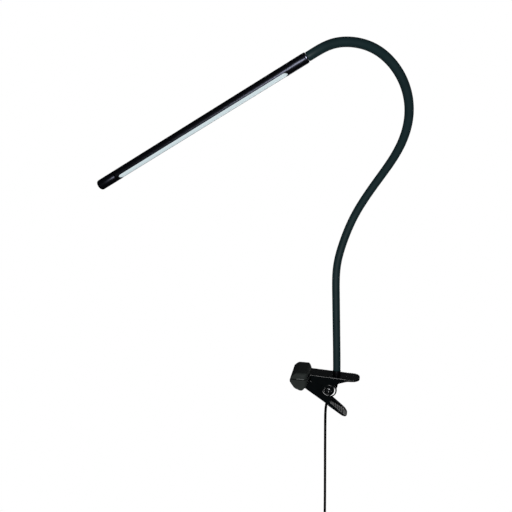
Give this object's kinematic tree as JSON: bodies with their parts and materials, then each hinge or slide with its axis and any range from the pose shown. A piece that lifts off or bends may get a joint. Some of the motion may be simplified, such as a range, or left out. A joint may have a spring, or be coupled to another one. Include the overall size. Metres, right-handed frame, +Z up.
{
  "type": "picture light",
  "caption": "Clip-on picture light: a slim LED tube on a flexible rubber-sleeved neck, held by a spring clip with soft jaws, with a thin cord, switch and USB plug.",
  "frame": {"origin": "middle of the gap between the closed jaws", "axes": "+X from the jaws to the handles, +Z up where the neck stands, +Y completes the frame; the hinge pin lies along Y"},
  "size_m": [0.3033, 0.1422, 0.7119],
  "materials": {
    "clip_plastic": "glossy black with a blue-green cast",
    "boot_rubber": "matte dark grey",
    "liner_rubber": "matte pale grey",
    "pin_steel": "bright, domed head",
    "spring_steel": "plain wire",
    "ferrule_metal": "black anodised, satin",
    "nut_steel": "bright zinc",
    "neck_rubber": "matte black with a green cast",
    "core_steel": "plain wound steel",
    "tube_aluminium": "black anodised, satin",
    "diffuser": "milky, smooth",
    "circuit_board": "white solder mask",
    "cord_pvc": "smooth black",
    "tie_rubber": "matte black",
    "switch_plastic": "fine satin texture",
    "button_plastic": "satin",
    "plug_pvc": "smooth black",
    "plug_metal": "bright nickel",
    "tongue_plastic": "white"
  },
  "bodies": {
    "clip": {"upper_lever": "clip_plastic", "upper_jaw_boot": "boot_rubber", "pivot_pin": "pin_steel", "pivot_washer": "pin_steel", "spring_coil": "spring_steel", "neck_ferrule": "ferrule_metal", "neck_washer": "nut_steel", "neck_nut": "nut_steel", "cord_gland": "cord_pvc", "neck_link_0": "neck_rubber", "neck_core_0": "core_steel", "cord": "cord_pvc", "cord_tail": "cord_pvc", "cord_end": "cord_pvc", "cord_coil": "cord_pvc", "cord_tie": "tie_rubber", "switch_front": "switch_plastic", "switch_back": "switch_plastic", "usb_plug_body": "plug_pvc", "usb_plug_shell": "plug_metal", "usb_plug_tongue": "tongue_plastic"},
    "jaw": {"lower_lever": "clip_plastic", "lower_jaw_boot": "boot_rubber", "grip_liner": "liner_rubber", "spring_lower_leg": "spring_steel"},
    "neck_1": {"neck_link_1": "neck_rubber", "neck_core_1": "core_steel"},
    "neck_2": {"neck_link_2": "neck_rubber", "neck_core_2": "core_steel"},
    "neck_3": {"neck_link_3": "neck_rubber", "neck_core_3": "core_steel"},
    "neck_4": {"neck_link_4": "neck_rubber", "neck_core_4": "core_steel"},
    "neck_5": {"neck_link_5": "neck_rubber", "neck_core_5": "core_steel"},
    "neck_6": {"neck_link_6": "neck_rubber", "neck_core_6": "core_steel"},
    "neck_7": {"neck_link_7": "neck_rubber", "neck_core_7": "core_steel"},
    "head": {"neck_link_8": "neck_rubber", "neck_core_8": "core_steel", "head_ferrule": "ferrule_metal", "head_tube": "tube_aluminium", "head_diffuser": "diffuser", "led_board": "circuit_board", "led_lead": "cord_pvc", "head_tip_cap": "tube_aluminium"},
    "button": {"switch_button": "button_plastic"}
  },
  "joints": [
    {"name": "jaw_open", "type": "hinge", "parent": "clip", "child": "jaw", "pos_m": [0.035, 0, -0.0135], "axis": [0, -1, 0], "range_deg": [0, 35], "stiffness_Nm_per_rad": 0.6, "springref_deg": -34.38},
    {"name": "neck_bend_1", "type": "hinge", "parent": "clip", "child": "neck_1", "pos_m": [0.04134, 0.00025, 0.04917], "axis": [0.0012, 0.9997, -0.0257], "range_deg": [-30, 30]},
    {"name": "neck_bend_2", "type": "hinge", "parent": "neck_1", "child": "neck_2", "pos_m": [0.03855, 0.00275, 0.10403], "axis": [0.9987, 0, 0.0508], "range_deg": [-30, 30]},
    {"name": "neck_bend_3", "type": "hinge", "parent": "neck_2", "child": "neck_3", "pos_m": [0.04236, 0.00403, 0.15864], "axis": [0.0037, 0.9999, 0.0143], "range_deg": [-30, 30]},
    {"name": "neck_bend_4", "type": "hinge", "parent": "neck_3", "child": "neck_4", "pos_m": [0.06185, -0.00077, 0.20971], "axis": [0.8843, 0, -0.4669], "range_deg": [-30, 30]},
    {"name": "neck_bend_5", "type": "hinge", "parent": "neck_4", "child": "neck_5", "pos_m": [0.08905, -0.01492, 0.25533], "axis": [0.1743, 0.9394, 0.2951], "range_deg": [-30, 30]},
    {"name": "neck_bend_6", "type": "hinge", "parent": "neck_5", "child": "neck_6", "pos_m": [0.10645, -0.03768, 0.30193], "axis": [0.995, 0, -0.0995], "range_deg": [-30, 30]},
    {"name": "neck_bend_7", "type": "hinge", "parent": "neck_6", "child": "neck_7", "pos_m": [0.09527, -0.06454, 0.34784], "axis": [-0.2738, 0.8673, 0.4157], "range_deg": [-30, 30]},
    {"name": "neck_bend_8", "type": "hinge", "parent": "neck_7", "child": "head", "pos_m": [0.05722, -0.09271, 0.37392], "axis": [0.1629, 0, 0.9866], "range_deg": [-30, 30]},
    {"name": "switch_press", "type": "slide", "parent": "clip", "child": "button", "axis": [0, 1, 0], "range_m": [0, 0.0008], "stiffness_N_per_m": 1500}
  ]
}
